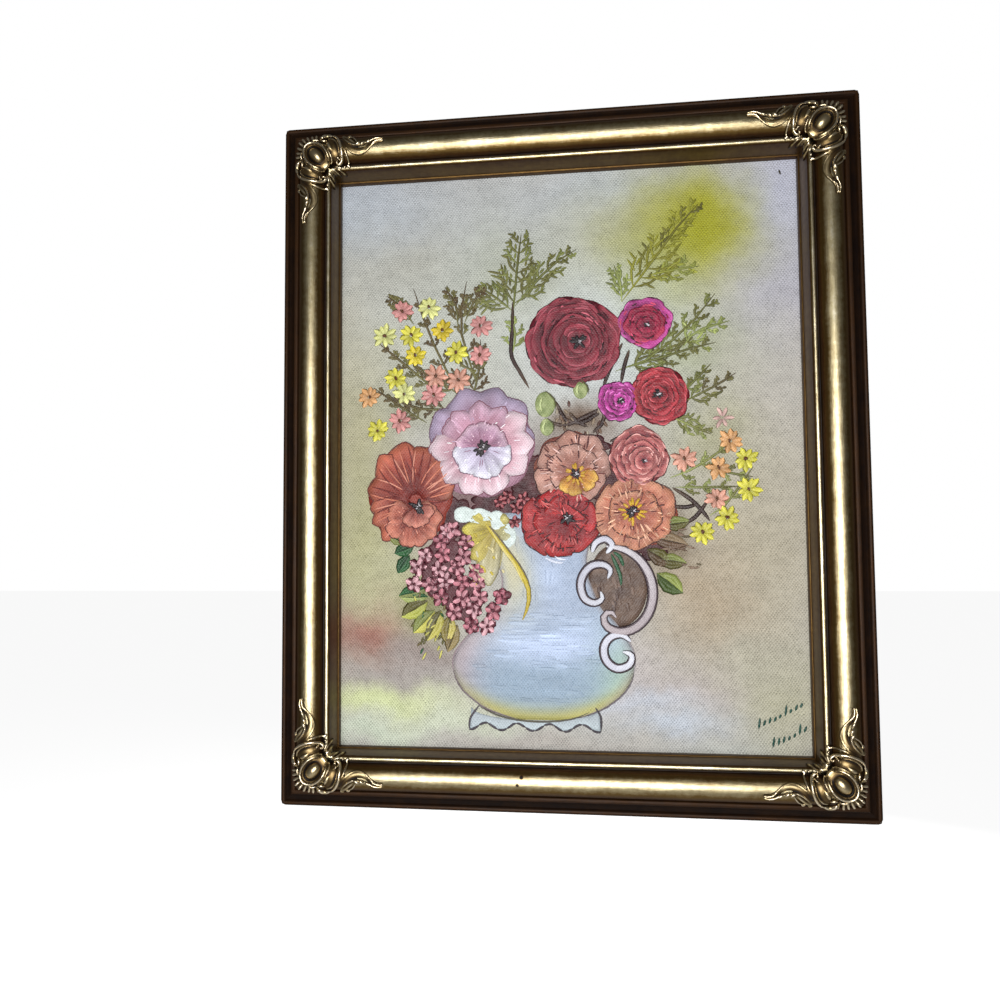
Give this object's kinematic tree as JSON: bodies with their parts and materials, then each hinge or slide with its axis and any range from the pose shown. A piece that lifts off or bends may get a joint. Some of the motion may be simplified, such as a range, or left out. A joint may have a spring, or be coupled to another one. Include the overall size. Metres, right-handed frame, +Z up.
{
  "type": "framed oil painting",
  "caption": "Small still-life painting on a canvas panel in a gilt moulded frame with cast scroll ornaments on its corners, made to hang on a wall.",
  "frame": {"origin": "on the back of the top rail at mid-width, in the plane that lies against the wall", "axes": "+X to the right as the picture is looked at, +Y into the wall, +Z up"},
  "size_m": [0.2436, 0.0293, 0.2944],
  "materials": {
    "gilt_moulding": "wooden moulding in rubbed metal leaf, dark brown patina in its hollows",
    "gilt_casting": "cast composition in rubbed metal leaf with dark recesses",
    "canvas": "oil paint on coarse canvas glued over a board",
    "hanger_steel": "thin stamped steel, dull brassy plating",
    "point_steel": "dull grey sheet steel"
  },
  "bodies": {
    "root": {"rail_top": "gilt_moulding", "rail_bottom": "gilt_moulding", "rail_left": "gilt_moulding", "rail_right": "gilt_moulding", "corner_top_left": "gilt_casting", "corner_top_right": "gilt_casting", "corner_bottom_left": "gilt_casting", "corner_bottom_right": "gilt_casting", "canvas_panel": "canvas", "hanger_plate": "hanger_steel", "hanger_nail_left": "hanger_steel", "hanger_nail_right": "hanger_steel", "point_top_1": "point_steel", "point_top_2": "point_steel", "point_right_1": "point_steel", "point_right_2": "point_steel", "point_bottom_1": "point_steel", "point_bottom_2": "point_steel", "point_left_1": "point_steel", "point_left_2": "point_steel"}
  },
  "joints": []
}
